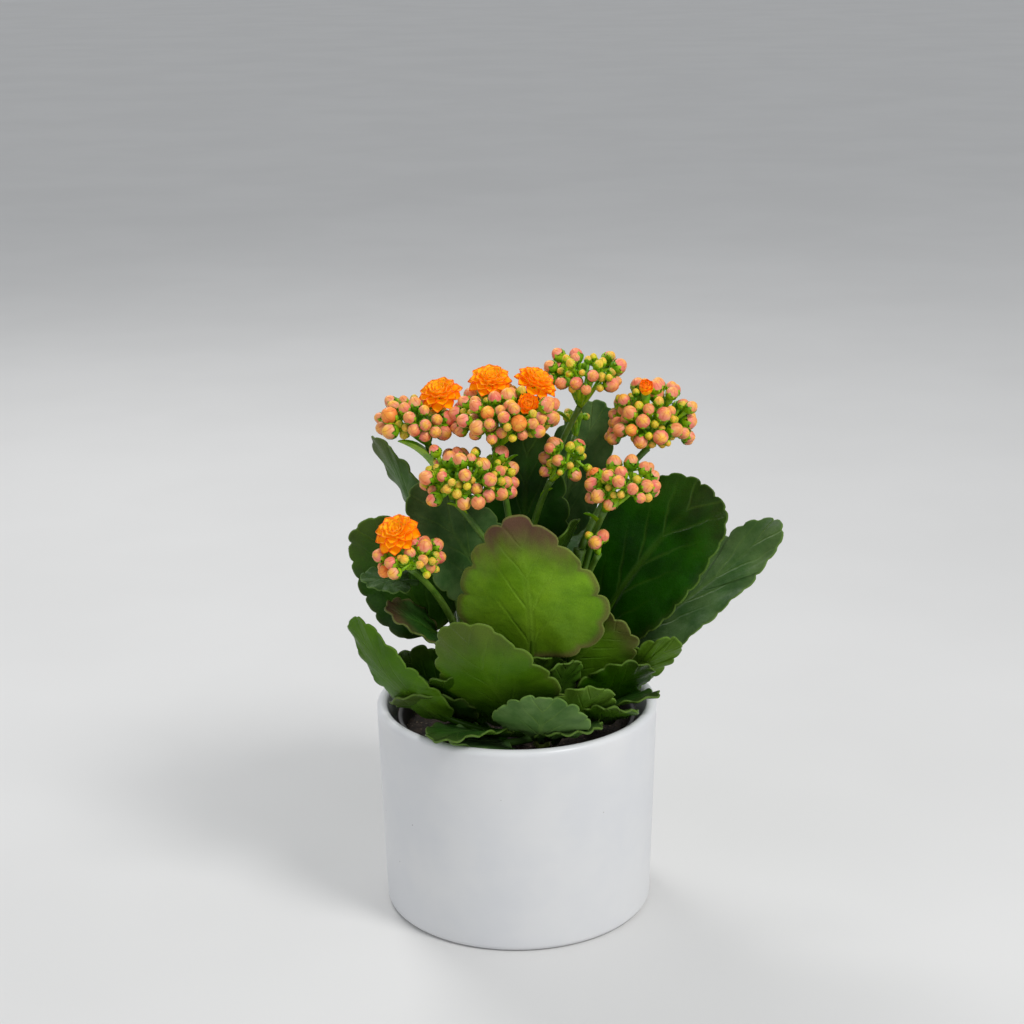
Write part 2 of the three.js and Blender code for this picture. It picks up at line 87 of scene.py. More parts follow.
# Small dark leaves around the foot of the plant: the root in mm, then the same figures as above.
UNDERLEAVES = {
    "underleaf_rim_left": ((-6, -30, 96), (-128, 18, 52, 34, 10, 30, 0.15, 0.2, 9, 0.1, 0.1, 0.2)),
    "underleaf_left": ((-18, -20, 97), (-160, 26, 48, 34, 30, 24, 0.15, 0.2, 9, 0.1, 0.2, 0.3)),
    "underleaf_left_up": ((-20, -12, 98), (188, 46, 52, 38, 60, 20, 0.15, 0.2, 10, 0.0, 0.2, 0.1)),
    "underleaf_left_mid": ((-14, -24, 98), (-142, 48, 46, 36, 30, 20, 0.15, 0.2, 10, 0.0, 0.1, 0.0)),
    "underleaf_gap": ((6, -20, 100), (-70, 66, 44, 34, 0, 16, 0.15, 0.2, 9, 0.1, 0.1, 0.1)),
    "underleaf_front": ((18, -32, 95), (-62, 28, 36, 32, 0, 24, 0.15, 0.2, 8, 0.1, 0.1, 0.3)),
    "underleaf_right": ((28, -24, 96), (-44, 32, 40, 32, -20, 24, 0.15, 0.2, 8, 0.1, 0.1, 0.1)),
    "underleaf_right_up": ((30, -14, 98), (-18, 44, 48, 36, -40, 20, 0.15, 0.2, 9, 0.0, 0.1, 0.0)),
    "underleaf_back_left": ((-8, 32, 97), (122, 28, 40, 34, 0, 24, 0.15, 0.2, 9, 0.1, 0.2, 0.3)),
    "underleaf_back_right": ((16, 34, 97), (52, 30, 36, 32, 0, 24, 0.15, 0.2, 9, 0.1, 0.2, 0.3)),
}

# Each head of buds: the stalk that it forks from, its height over its breadth, and the share of its
# buds that are still small and green.
HEADS = {
    "buds_far_left": ("stalk_far_left", 0.5, 0.3),
    "buds_left": ("stalk_left", 0.48, 0.3),
    "buds_mid_left": ("stalk_mid_left", 0.55, 0.5),
    "buds_centre": ("stalk_centre", 0.9, 0.45),
    "buds_centre_right": ("stalk_centre_right", 0.67, 0.45),
    "buds_right": ("stalk_right", 0.9, 0.4),
    "buds_top": ("stalk_top", 0.53, 0.4),
    "buds_back_small": ("stalk_back_small", 0.7, 0.7),
    "buds_low_left": ("stalk_low_left", 0.6, 0.35),
    "buds_tiny": ("stalk_tiny", 0.5, 0.5),
}

# Each open flower: its head, the way it faces, its scale and how far it has opened.
FLOWERS = {
    "open_flower_left": ("buds_far_left", -110, 60, 1.0, 1.0),
    "open_flower_mid": ("buds_left", -80, 62, 1.0, 1.0),
    "open_flower_right": ("buds_left", -30, 58, 1.0, 1.0),
    "open_flower_half": ("buds_left", -90, 40, 0.62, 0.35),
    "open_flower_low": ("buds_low_left", -105, 50, 1.0, 1.0),
    "open_flower_young": ("buds_right", -90, 50, 0.6, 0.1),
}

# Small leaves on the flower stalks: the stalk, the height on it, turn, rise, length and width.
BRACTS = {
    "bract_far_left": ("stalk_far_left", 220, 192, 46, 28, 13),
    "bract_right": ("stalk_right", 214, -40, 35, 16, 8),
    "bract_centre_right": ("stalk_centre_right", 200, -150, 40, 11, 5),
    "bract_mid_left": ("stalk_mid_left", 208, 200, 35, 12, 5),
    "bract_centre": ("stalk_centre", 208, -40, 45, 10, 4),
    "bract_top": ("stalk_top", 240, 190, 40, 11, 5),
    "bract_left": ("stalk_left", 222, -20, 50, 14, 6),
}

BUD = {"radius": 3.5 * MM, "long": 1.1, "area": 42 * MM * MM, "reach": 120, "sides": 12, "rings": 8}
BUD_SETTLING = 14  # rounds of pushing the buds of a head apart
OPENING_RIPENESS = 0.985  # riper buds than this show orange
BRANCH = {"thick": 1.2 * MM, "thin": 1.0 * MM, "buds": 6}
PEDICEL_RADIUS = 0.75 * MM
FLOWER = {"radius": 10.8 * MM, "depth": 7 * MM, "neck": 2.2 * MM, "petal": 0.25 * MM}
PETAL_TIERS = (  # count, length, rise and lift of each tier of petals
    (9, 1.0, 10, 0.0),
    (9, 0.95, 24, 0.05),
    (8, 0.86, 40, 0.1),
    (7, 0.74, 54, 0.16),
    (6, 0.6, 66, 0.2),
    (4, 0.46, 78, 0.24),
)
STEM = {"foot": 4.2 * MM, "top": 2.8 * MM, "ring": 0.5 * MM, "rings": 5}
STALK = {"foot": 1.9 * MM, "top": 1.3 * MM, "swell": 0.5 * MM}
LEAF = {"steps": 160, "rings": 18, "cup": 0.12, "thick": 1.0 * MM, "edge": 0.55 * MM}
MARGIN = {"steps": 400, "bluntness": 0.7, "lobe_depth": 0.25}
CRINKLE = {"wave": 0.8 * MM, "blister": 0.8 * MM, "groove": 0.6 * MM, "groove_width": 1.6 * MM}
PETIOLE_RADIUS = 1.9 * MM


# ---------------------------------------------------------------- mesh helpers

def heading(turn, rise):
    """Unit vector from a turn about +Z and a rise above the level, in degrees."""
    across, up = math.radians(turn), math.radians(rise)
    return Vector((math.cos(up) * math.cos(across), math.cos(up) * math.sin(across), math.sin(up)))


def smoothstep(low, high, value):
    """A value's share of the way from low to high, eased at both ends."""
    share = min(max((value - low) / (high - low), 0.0), 1.0)
    return share * share * (3 - 2 * share)


def keep(bm, name, finishes, slot, *nodes):
    """Turns a bmesh into a smooth finished piece that rides on the plant and stands for any nodes."""
    mesh = bpy.data.meshes.new(name)
    bm.to_mesh(mesh)
    bm.free()
    for finish in finishes:
        mesh.materials.append(finish)
    mesh.polygons.foreach_set("use_smooth", [True] * len(mesh.polygons))
    piece = bpy.data.objects.new(name, mesh)
    bpy.context.scene.collection.objects.link(piece)
    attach(piece, "root")
    if nodes:
        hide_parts(*nodes)
    return piece


def arc(centre, radius, start, end, steps):
    """Points [radius, height] of a round corner in a turned profile, angles in degrees."""
    angles = [math.radians(start + (end - start) * i / steps) for i in range(steps + 1)]
    return [(centre[0] + radius * math.cos(a), centre[1] + radius * math.sin(a)) for a in angles]


def turn_profile(bm, profile, steps):
    """Spins a profile of (radius, height) points about the pot's axis into a closed body."""
    verts = [bm.verts.new((radius, 0, height)) for radius, height in profile]
    edges = [bm.edges.new(pair) for pair in zip(verts, verts[1:])]
    bmesh.ops.spin(
        bm, geom=verts + edges, cent=(0, 0, 0), axis=UP, angle=math.tau, steps=steps, use_merge=True
    )
    bmesh.ops.remove_doubles(bm, verts=bm.verts, dist=1e-6)
    bmesh.ops.recalc_face_normals(bm, faces=bm.faces)


def aimed(origin, direction):
    """Matrix that stands +Z on a direction at a point."""
    return Matrix.Translation(origin) @ direction.to_track_quat("Z", "Y").to_matrix().to_4x4()


def rod(bm, points, radii, sides, material=0):
    """A closed round rod through points, extruded ring by ring."""
    tangents = [(b - a).normalized() for a, b in zip(points, points[1:])]
    tangents.append(tangents[-1])
    spin = aimed(Vector(), tangents[0]).to_quaternion()
    ring = bmesh.ops.create_circle(bm, cap_ends=True, segments=sides, radius=1.0)["verts"]
    faces = list(ring[0].link_faces)
    rims = [ring]
    edges = {edge for vert in ring for edge in vert.link_edges}
    for _ in points[1:]:
        grown = bmesh.ops.extrude_edge_only(bm, edges=list(edges))["geom"]
        rims.append([part for part in grown if isinstance(part, bmesh.types.BMVert)])
        edges = {part for part in grown if isinstance(part, bmesh.types.BMEdge)}
        edges = {edge for edge in edges if all(vert in rims[-1] for vert in edge.verts)}
        faces += [part for part in grown if isinstance(part, bmesh.types.BMFace)]
    faces += bmesh.ops.contextual_create(bm, geom=list(edges))["faces"]
    previous = tangents[0]
    for rim, point, radius, tangent in zip(rims, points, radii, tangents):
        spin = previous.rotation_difference(tangent) @ spin
        previous = tangent
        place = Matrix.LocRotScale(point, spin, (radius, radius, radius))
        bmesh.ops.transform(bm, matrix=place, verts=rim)
    for face in faces:
        face.material_index = material
    return [vert for rim in rims for vert in rim]


def curve_points(start, bend, end, steps):
    """Points along a quadratic curve."""
    shares = [i / steps for i in range(steps + 1)]
    return [start * (1 - s) ** 2 + bend * 2 * s * (1 - s) + end * s * s for s in shares]


def rod_ends(node):
    """Middles of the lowest and the highest end of an upright rod's CAD node."""
    points = [vert.co.copy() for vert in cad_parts[node].data.vertices]
    low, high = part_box(node)
    foot = [point for point in points if point.z < low.z + 1.2 * MM]
    top = [point for point in points if point.z > high.z - 1.2 * MM]
    return sum(foot, Vector()) / len(foot), sum(top, Vector()) / len(top)


# ---------------------------------------------------------------- node helpers

def add(tree, kind, inputs=None, **settings):
    """Adds a node, sets its properties, and sets or links its inputs by name or number."""
    made = tree.nodes.new(kind)
    for key, value in settings.items():
        setattr(made, key, value)
    for key, value in (inputs or {}).items():
        if isinstance(value, bpy.types.NodeSocket):
            tree.links.new(value, made.inputs[key])
        else:
            made.inputs[key].default_value = value
    return made


def colour(red, green, blue):
    """Linear RGBA from a display colour out of 255."""
    linear = [((c / 255 + 0.055) / 1.055) ** 2.4 if c > 10 else c / 255 / 12.92 for c in (red, green, blue)]
    return (*linear, 1.0)


def mix(tree, share, first, second):
    return add(tree, "ShaderNodeMix", {0: share, 6: first, 7: second}, data_type="RGBA").outputs[2]


def ramp(tree, value, low, high, out_low=0.0, out_high=1.0):
    """A value carried smoothly from one range to another."""
    inputs = {"Value": value, "From Min": low, "From Max": high, "To Min": out_low, "To Max": out_high}
    made = add(tree, "ShaderNodeMapRange", inputs, interpolation_type="SMOOTHSTEP")
    return made.outputs["Result"]


def maths(tree, operation, first, second=0.0):
    return add(tree, "ShaderNodeMath", {0: first, 1: second}, operation=operation).outputs[0]


def attribute(tree, name):
    """A value stored on the mesh."""
    return add(tree, "ShaderNodeAttribute", attribute_name=name).outputs["Fac"]


def object_place(tree):
    """The shaded point's place on the object."""
    return tree.nodes.new("ShaderNodeTexCoord").outputs["Object"]


def axes(tree, vector):
    """The X, Y and Z outputs of a vector."""
    return add(tree, "ShaderNodeSeparateXYZ", {0: vector}).outputs


def clouds(tree, place, scale, detail=2.0):
    """Soft noise over a place, from 0 to 1."""
    inputs = {"Vector": place, "Scale": scale, "Detail": detail}
    return add(tree, "ShaderNodeTexNoise", inputs).outputs["Fac"]


def specks(tree, place, scale):
    """Distance from the nearest of many scattered points."""
    return add(tree, "ShaderNodeTexVoronoi", {"Vector": place, "Scale": scale}).outputs["Distance"]


def material(name, **settings):
    """A new material: its tree, its Principled BSDF with settings, and itself."""
    made = bpy.data.materials.new(name)
    made.use_nodes = True
    tree = made.node_tree
    shader = tree.nodes["Principled BSDF"]
    for key, value in settings.items():
        shader.inputs[key.replace("_", " ")].default_value = value
    return made, tree, shader


def bump(tree, shader, height, strength, distance):
    """Carries a height into a shader's normal."""
    inputs = {"Strength": strength, "Distance": distance, "Height": height}
    tree.links.new(add(tree, "ShaderNodeBump", inputs).outputs["Normal"], shader.inputs["Normal"])


def mottle_group():
    """Two colours clouded into each other at one scale, with the cloud as a mask."""
    group = bpy.data.node_groups.new("mottle", "ShaderNodeTree")
    for name, kind in (("First", "Color"), ("Second", "Color"), ("Scale", "Float"), ("Detail", "Float")):
        group.interface.new_socket(name, in_out="INPUT", socket_type=f"NodeSocket{kind}")
    group.interface.new_socket("Color", in_out="OUTPUT", socket_type="NodeSocketColor")
    group.interface.new_socket("Mask", in_out="OUTPUT", socket_type="NodeSocketFloat")
    given = group.nodes.new("NodeGroupInput").outputs
    cloud = add(group, "ShaderNodeTexNoise", {
        "Vector": object_place(group), "Scale": given["Scale"], "Detail": given["Detail"], "Roughness": 0.6,
    }).outputs["Fac"]
    mask = ramp(group, cloud, 0.3, 0.7)
    out = group.nodes.new("NodeGroupOutput")
    group.links.new(mix(group, mask, given["First"], given["Second"]), out.inputs["Color"])
    group.links.new(mask, out.inputs["Mask"])
    return group


MOTTLE = mottle_group()


def mottle(tree, first, second, scale, detail=3.0):
    """Two colours clouded into each other, and the cloud's mask."""
    inputs = {"First": first, "Second": second, "Scale": scale, "Detail": detail}
    made = add(tree, "ShaderNodeGroup", inputs, node_tree=MOTTLE)
    return made.outputs["Color"], made.outputs["Mask"]


# ---------------------------------------------------------------- materials

def ceramic():
    """Matte off-white ceramic, a little glossier on its lip, with a few pin-sized specks."""
    made, tree, shader = material("pot_ceramic", Roughness=0.5, IOR=1.45)
    base, mask = mottle(tree, colour(222, 223, 225), colour(229, 229, 229), 22.0)
    place = object_place(tree)
    speck = ramp(tree, specks(tree, place, 160.0), 0.03, 0.07, 1.0, 0.0)
    rare = ramp(tree, clouds(tree, place, 70.0), 0.6, 0.66)
    spotted = mix(tree, maths(tree, "MULTIPLY", speck, rare), base, colour(150, 148, 144))
    tree.links.new(spotted, shader.inputs["Base Color"])
    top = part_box("cover_pot")[1].z
    lip = ramp(tree, axes(tree, place)["Z"], top - 7 * MM, top - 4 * MM, 0.55, 0.3)
    tree.links.new(maths(tree, "ADD", lip, maths(tree, "MULTIPLY", mask, 0.06)), shader.inputs["Roughness"])
    squashed = add(tree, "ShaderNodeVectorMath", {0: place, 1: (8.0, 8.0, 90.0)}, operation="MULTIPLY")
    bump(tree, shader, clouds(tree, squashed.outputs[0], 3.0), 0.12, 0.4 * MM)
    return made


def nursery_plastic():
    """Dark brown moulded plastic."""
    made, tree, shader = material("nursery_plastic", Roughness=0.45)
    base, mask = mottle(tree, colour(34, 30, 28), colour(48, 42, 38), 90.0)
    tree.links.new(base, shader.inputs["Base Color"])
    bump(tree, shader, mask, 0.2, 0.1 * MM)
    return made


def peat():
    """Moist peat with fibres and a few pale grains."""
    made, tree, shader = material("peat", Roughness=0.95)
    base, mask = mottle(tree, colour(22, 16, 10), colour(56, 42, 30), 260.0, 6.0)
    grain = specks(tree, object_place(tree), 300.0)
    grained = mix(tree, ramp(tree, grain, 0.1, 0.2, 0.5, 0.0), base, colour(150, 130, 104))
    tree.links.new(grained, shader.inputs["Base Color"])
    bump(tree, shader, mask, 0.8, 1.0 * MM)
    return made


def green_stem():
    """Smooth fleshy stem, paler and yellower towards its top."""
    made, tree, shader = material("stem_green", Roughness=0.42)
    base, mask = mottle(tree, colour(72, 112, 22), colour(104, 140, 44), 120.0)
    low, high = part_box("stem_centre")
    woody = ramp(tree, axes(tree, object_place(tree))["Z"], low.z + 20 * MM, high.z, 0.55, 0.0)
    tree.links.new(mix(tree, woody, base, colour(96, 92, 48)), shader.inputs["Base Color"])
    bump(tree, shader, mask, 0.15, 0.2 * MM)
    return made


def vein_lines(tree, along, across):
    """Soft side veins that sweep forward from the midrib, and the midrib itself, from 0 to 1."""
    out = maths(tree, "ABSOLUTE", across)
    slanted = maths(tree, "SUBTRACT", along, maths(tree, "MULTIPLY", out, 0.5))
    wander = clouds(tree, object_place(tree), 70.0)
    slanted = maths(tree, "ADD", slanted, maths(tree, "MULTIPLY", wander, 0.09))
    wave = maths(tree, "PINGPONG", maths(tree, "MULTIPLY", slanted, 5.5), 0.5)
    side = ramp(tree, wave, 0.0, 0.13, 1.0, 0.0)
    side = maths(tree, "MULTIPLY", side, ramp(tree, out, 0.05, 0.7, 0.7, 0.0))
    middle = ramp(tree, out, 0.02, 0.09, 1.0, 0.0)
    middle = maths(tree, "MULTIPLY", middle, ramp(tree, along, 0.3, 0.95, 1.0, 0.1))
    return maths(tree, "MAXIMUM", side, middle)


def leaf_flesh():
    """Waxy leaf: dark glossy upper face, light underside, reddish rim, painted shade towards its base and a
    painted highlight on its rounded edge.
    """
    made, tree, shader = material("leaf_flesh", IOR=1.42, Specular_IOR_Level=0.14)
    pale, blush, bloom = (attribute(tree, name) for name in ("pale", "blush", "bloom"))
    rim = attribute(tree, "rim")
    upper = ramp(tree, attribute(tree, "face"), -0.2, 0.2)
    flat = add(tree, "ShaderNodeUVMap", uv_map="blade").outputs["UV"]
    along, across, _ = axes(tree, flat)
    veins = vein_lines(tree, along, across)
    green, _ = mottle(tree, colour(8, 42, 0), colour(26, 76, 0), 40.0, 5.0)
    glaucous, _ = mottle(tree, colour(62, 98, 48), colour(104, 134, 78), 70.0, 6.0)
    top = mix(tree, bloom, green, glaucous)
    # Undersides run from dull to light by each leaf's pale figure. The dull end holds painted shade for
    # leaves that sit in shade, as well as the leaf's own tone.
    light, _ = mottle(tree, colour(104, 152, 2), colour(140, 186, 26), 45.0, 6.0)
    dull, _ = mottle(tree, colour(28, 66, 0), colour(54, 100, 0), 40.0, 5.0)
    under = mix(tree, maths(tree, "MULTIPLY", bloom, 0.8), mix(tree, pale, dull, light), glaucous)
    base = mix(tree, upper, under, top)
    lift = maths(tree, "ADD", 0.06, maths(tree, "MULTIPLY", maths(tree, "MAXIMUM", pale, bloom), 0.12))
    veined = mix(tree, maths(tree, "MULTIPLY", veins, lift), base, colour(150, 186, 70))
    # Painted shade: every leaf is darkened towards its base, where its own cup and the leaves around it shade
    # it.
    painted_base_shade = ramp(tree, along, 0.15, 0.62, 0.75, 0.0)
    shaded = mix(tree, painted_base_shade, veined, colour(14, 44, 0))
    tip = maths(tree, "ADD", along, maths(tree, "MULTIPLY", clouds(tree, flat, 4.0, 6.0), 0.35))
    flush = maths(tree, "MULTIPLY", ramp(tree, rim, 0.2, 0.92), ramp(tree, tip, 0.78, 1.16))
    edge = maths(tree, "MULTIPLY", ramp(tree, rim, 0.88, 0.99), 0.6)
    flushed = maths(tree, "MULTIPLY", blush, maths(tree, "MAXIMUM", flush, edge))
    reddened = mix(tree, flushed, shaded, colour(104, 74, 56))
    # Painted highlight: a thin light band on the rounded edge, where light catches it.
    painted_edge_highlight = ramp(tree, rim, 0.985, 1.0, 0.0, 0.3)
    edged = mix(tree, painted_edge_highlight, reddened, colour(128, 160, 66))
    grain = clouds(tree, flat, 110.0, 3.0)
    freckled = mix(tree, ramp(tree, grain, 0.35, 0.65, 0.22, 0.0), edged, colour(20, 44, 4))
    tree.links.new(freckled, shader.inputs["Base Color"])
    wax = maths(tree, "ADD", ramp(tree, grain, 0.3, 0.7, 0.22, 0.36), maths(tree, "MULTIPLY", bloom, 0.2))
    tree.links.new(wax, shader.inputs["Roughness"])
    blister = clouds(tree, object_place(tree), 190.0)
    relief = maths(tree, "SUBTRACT", maths(tree, "ADD", blister, maths(tree, "MULTIPLY", grain, 0.2)), veins)
    bump(tree, shader, relief, 0.7, 0.6 * MM)
    return made


def bud_skin():
    """Furled petals: salmon pink when ripe, yellow-green when young, with fine seams to the tip."""
    made, tree, shader = material("bud_skin", Roughness=0.42, Specular_IOR_Level=0.35)
    ripe, height = attribute(tree, "ripe"), attribute(tree, "reach")
    turn = attribute(tree, "turn")
    pink, cloud = mottle(tree, colour(242, 100, 98), colour(255, 158, 142), 210.0)
    young, _ = mottle(tree, colour(176, 204, 0), colour(238, 226, 50), 260.0)
    body = mix(tree, ripe, young, pink)
    body = mix(tree, ramp(tree, ripe, 1.0, 1.6), body, colour(255, 136, 10))
    # Yellow-orange towards each bud's tip: partly the bud's own colour, partly a painted highlight on its top
    # where the light falls.
    tip_tint_and_highlight = maths(tree, "MULTIPLY", ramp(tree, height, 0.6, 1.0), ramp(tree, cloud, 0.2, 0.9, 0.3, 1.0))
    body = mix(tree, tip_tint_and_highlight, body, colour(255, 190, 60))
    foot = ramp(tree, height, 0.2, 0.62, 1.0, 0.0)
    body = mix(tree, foot, body, colour(196, 210, 30))
    wave = maths(tree, "PINGPONG", maths(tree, "ADD", turn, maths(tree, "MULTIPLY", height, 0.2)), 0.125)
    seam = maths(tree, "MULTIPLY", ramp(tree, wave, 0.0, 0.03, 1.0, 0.0), ramp(tree, height, 0.45, 0.8))
    seamed = mix(tree, maths(tree, "MULTIPLY", seam, 0.55), body, colour(214, 76, 44))
    tree.links.new(seamed, shader.inputs["Base Color"])
    bump(tree, shader, maths(tree, "SUBTRACT", 1.0, seam), 0.4, 0.3 * MM)
    return made


def calyx_green():
    """Bright green of the calyces, the branches and the bracts."""
    made, tree, shader = material("calyx_green", Roughness=0.42, Specular_IOR_Level=0.35)
    base, mask = mottle(tree, colour(88, 152, 0), colour(164, 204, 20), 130.0)
    tree.links.new(base, shader.inputs["Base Color"])
    bump(tree, shader, mask, 0.15, 0.2 * MM)
    return made


def petal_skin():
    """Orange petal: yellow at its foot, red-orange at its edges, with fine long streaks, and a weak painted
    glow that stands for light shining through it.
    """
    # Painted light: a weak emission makes the petals glow in their own colours, standing for light that
    # shines through them.
    made, tree, shader = material("petal_skin", Roughness=0.5, Specular_IOR_Level=0.2, Emission_Strength=0.12)
    reach, edge = attribute(tree, "reach"), attribute(tree, "edge")
    tier = attribute(tree, "layer")
    heart = mix(tree, ramp(tree, reach, 0.1, 0.8), colour(255, 216, 20), colour(255, 174, 0))
    heart = mix(tree, maths(tree, "MULTIPLY", tier, 0.6), heart, colour(255, 208, 30))
    rim = maths(tree, "MAXIMUM", ramp(tree, edge, 0.66, 1.0), ramp(tree, reach, 0.88, 1.0, 0.0, 0.8))
    rim = maths(tree, "MULTIPLY", rim, ramp(tree, tier, 0.0, 0.9, 0.9, 0.55))
    body = mix(tree, rim, heart, colour(246, 74, 0))
    stretched = add(tree, "ShaderNodeCombineXYZ", {
        "X": maths(tree, "MULTIPLY", edge, 8.0), "Y": maths(tree, "MULTIPLY", reach, 1.2),
    }).outputs[0]
    streak = clouds(tree, stretched, 2.0)
    body = mix(tree, ramp(tree, streak, 0.5, 0.75, 0.0, 0.3), body, colour(252, 120, 0))
    tree.links.new(body, shader.inputs["Base Color"])
    # Painted glow: the petal's colour also feeds its emission.
    tree.links.new(body, shader.inputs["Emission Color"])
    bump(tree, shader, streak, 0.25, 0.2 * MM)
    return made


def pale_floor():
    """Plain matte pale grey."""
    made, tree, shader = material("pale_floor", Roughness=0.7)
    base, _ = mottle(tree, colour(214, 213, 211), colour(218, 217, 215), 3.0)
    tree.links.new(base, shader.inputs["Base Color"])
    return made


# ---------------------------------------------------------------- pots and soil

def cover_pot(finish):
    """Straight-sided pot with a rounded lip, a soft corner at its foot and a flat floor."""
    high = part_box("cover_pot")[1]
    rim, height = high.x, high.z
    foot, wall, floor, corner = rim * 0.96, 5.5 * MM, 7 * MM, 3 * MM
    lip = wall / 2
    profile = [(0, 0), (foot - corner - 4 * MM, 0)]
    profile += arc((foot - corner, corner), corner, -90, 0, 8)
    steps = 24
    wall_low, wall_high = corner, height - lip
    for i in range(1, steps):
        share = i / steps
        profile.append((foot + (rim - foot) * share, wall_low + (wall_high - wall_low) * share))
    profile += arc((rim - lip, height - lip), lip, 0, 180, 16)
    for i in range(1, steps):
        share = 1 - i / steps
        inside = foot - wall + (rim - foot) * share
        profile.append((inside, floor + corner + (height - lip - floor - corner) * share))
    profile += arc((foot - wall - corner, floor + corner), corner, 0, -90, 6)
    profile.append((0, floor))
    bm = bmesh.new()
    turn_profile(bm, profile, 180)
    keep(bm, "pot", [finish], "cover_pot_ceramic", "cover_pot")


def grow_pot(finish):
    """Thin nursery pot with a folded rim."""
    low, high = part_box("grow_pot")
    rim, wall = high.x, 1.2 * MM
    foot = rim * 0.77
    profile = [
        (0, low.z), (foot - 2 * MM, low.z), (foot, low.z + 2 * MM),
        (rim - 2.5 * MM, high.z - 5 * MM), (rim - 0.4 * MM, high.z - 4.5 * MM),
        (rim, high.z - 0.6 * MM), (rim - 0.6 * MM, high.z), (rim - 2 * MM, high.z),
        (rim - 2.6 * MM, high.z - 0.6 * MM), (rim - 2.5 * MM - wall, high.z - 5 * MM),
        (foot - wall, low.z + 3 * MM), (foot - 4 * MM, low.z + wall), (0, low.z + wall),
    ]
    bm = bmesh.new()
    turn_profile(bm, profile, 120)
    keep(bm, "nursery_pot", [finish], "grow_pot_plastic", "grow_pot")


def soil(finish):
    """Crumbly heap of peat inside the nursery pot."""
    low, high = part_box("soil")
    top_radius, foot_radius = high.x, high.x * 0.79
    top = low.z * 0.02 + high.z * 0.98 - MM
    rings = 44
    profile = [(0, low.z), (foot_radius, low.z)]
    profile += [(top_radius * (1 - i / rings), top) for i in range(rings + 1)]
    bm = bmesh.new()
    turn_profile(bm, profile, 150)
    for vert in bm.verts:
        if vert.co.z > top - MM:
            wide = noise.fractal(vert.co * 45, 1.0, 2.0, 4) * 1.6 * MM
            crumb = abs(noise.noise(vert.co * 420)) * 1.6 * MM
            inward = 1 - smoothstep(0.9, 1.0, vert.co.xy.length / top_radius)
            vert.co.z += min((wide + crumb) * inward, high.z - top)
    keep(bm, "peat_fill", [finish], "potting_soil", "soil")


# ---------------------------------------------------------------- stems and stalks

def main_stem(name, finish):
    """Fleshy stem with a ring where each pair of leaves has grown."""
    foot, top = rod_ends(name)
    points = curve_points(foot, Vector((foot.x, foot.y, (foot.z + top.z) / 2)), top, 36)
    radii = []
    for i in range(len(points)):
        share = i / (len(points) - 1)
        knuckle = max(0.0, math.cos(share * math.tau * STEM["rings"])) ** 12
        radii.append(STEM["foot"] + (STEM["top"] - STEM["foot"]) * share + STEM["ring"] * knuckle)
    bm = bmesh.new()
    rod(bm, points, radii, 16)
    bmesh.ops.recalc_face_normals(bm, faces=bm.faces)
    keep(bm, name.replace("stem", "main_stem"), [finish], "stem", name)


def stalk_points(name, steps=14):
    """Points up a flower stalk's centreline, from its foot to its fork."""
    foot, fork = rod_ends(name)
    across = fork - foot
    bend = foot + Vector((0.3 * across.x, 0.3 * across.y, 0.55 * across.z))
    return curve_points(foot, bend, fork, steps)


def flower_stalk(name, finish):
    """Slim stalk, thicker at its foot and swollen a little under its fork."""
    points = stalk_points(name)
    shares = [i / (len(points) - 1) for i in range(len(points))]
    slimming = STALK["top"] - STALK["foot"]
    radii = [STALK["foot"] + slimming * share + STALK["swell"] * share ** 12 for share in shares]
    bm = bmesh.new()
    rod(bm, points, radii, 12)
    bmesh.ops.recalc_face_normals(bm, faces=bm.faces)
    keep(bm, name.replace("stalk", "flower_stalk"), [finish], "stem", name)


# ---------------------------------------------------------------- leaves

def outline_at(angle, length, width, petiole, taper):
    """A point (along, half width) of a plain margin, at an angle from base to tip."""
    along = length * (petiole + (1 - petiole) * (1 - math.cos(angle)) / 2)
    round_share = max(math.sin(angle), 0.0) ** MARGIN["bluntness"]
    half = width / 2 * round_share * (1 + taper * math.cos(angle))
    return Vector((along, half))


def scalloped_outline(length, width, petiole, taper, pitch, seed):
    """Evenly spaced margin points from base to tip, drawn out into rounded lobes."""
    count, last = LEAF["steps"] // 2, MARGIN["steps"]
    fine = [outline_at(math.pi * i / last, length, width, petiole, taper) for i in range(last + 1)]
    reach = [0.0]
    for start, end in zip(fine, fine[1:]):
        reach.append(reach[-1] + (end - start).length)
    lobes = max(3, round(reach[-1] / pitch))
    depth = MARGIN["lobe_depth"] * reach[-1] / lobes
    points, cursor = [], 0
    for i in range(count + 1):
        target = reach[-1] * i / count
        while cursor < last - 1 and reach[cursor + 1] < target:
            cursor += 1
        step = fine[cursor + 1] - fine[cursor]
        point = fine[cursor] + step * (target - reach[cursor]) / (reach[cursor + 1] - reach[cursor])
        phase = lobes * (1 - i / count)
        uneven = 0.8 + 0.4 * noise.noise(Vector((seed, phase + 0.5, 0.3)))
        crest = abs(math.cos(math.pi * phase - 0.3 * math.sin(math.tau * phase))) ** 0.8 - 0.6
        out = Vector((-step.y, step.x)).normalized()
        points.append(point + out * depth * uneven * crest * smoothstep(0.06, 0.3, i / count))
    return points


def bent(along, across, lift, length, arch):
    """A point of a flat leaf carried onto its arched back."""
    bend = math.radians(arch) / 2
    reach = length / (2 * math.sin(bend))
    slope = bend * (1 - 2 * along / length)
    return Vector((
        reach * (math.sin(bend) - math.sin(slope)) - math.sin(slope) * lift,
        across,
        reach * (math.cos(slope) - math.cos(bend)) + math.cos(slope) * lift,
    ))


def leaf_rotation(turn, rise, roll):
    """Rotation of a leaf: X along it, Z out of its upper face."""
    along = heading(turn, rise)
    side = heading(turn + 90, 0)
    basis = Matrix((along, side, along.cross(side))).transposed()
    return basis @ Matrix.Rotation(math.radians(roll), 3, "X")


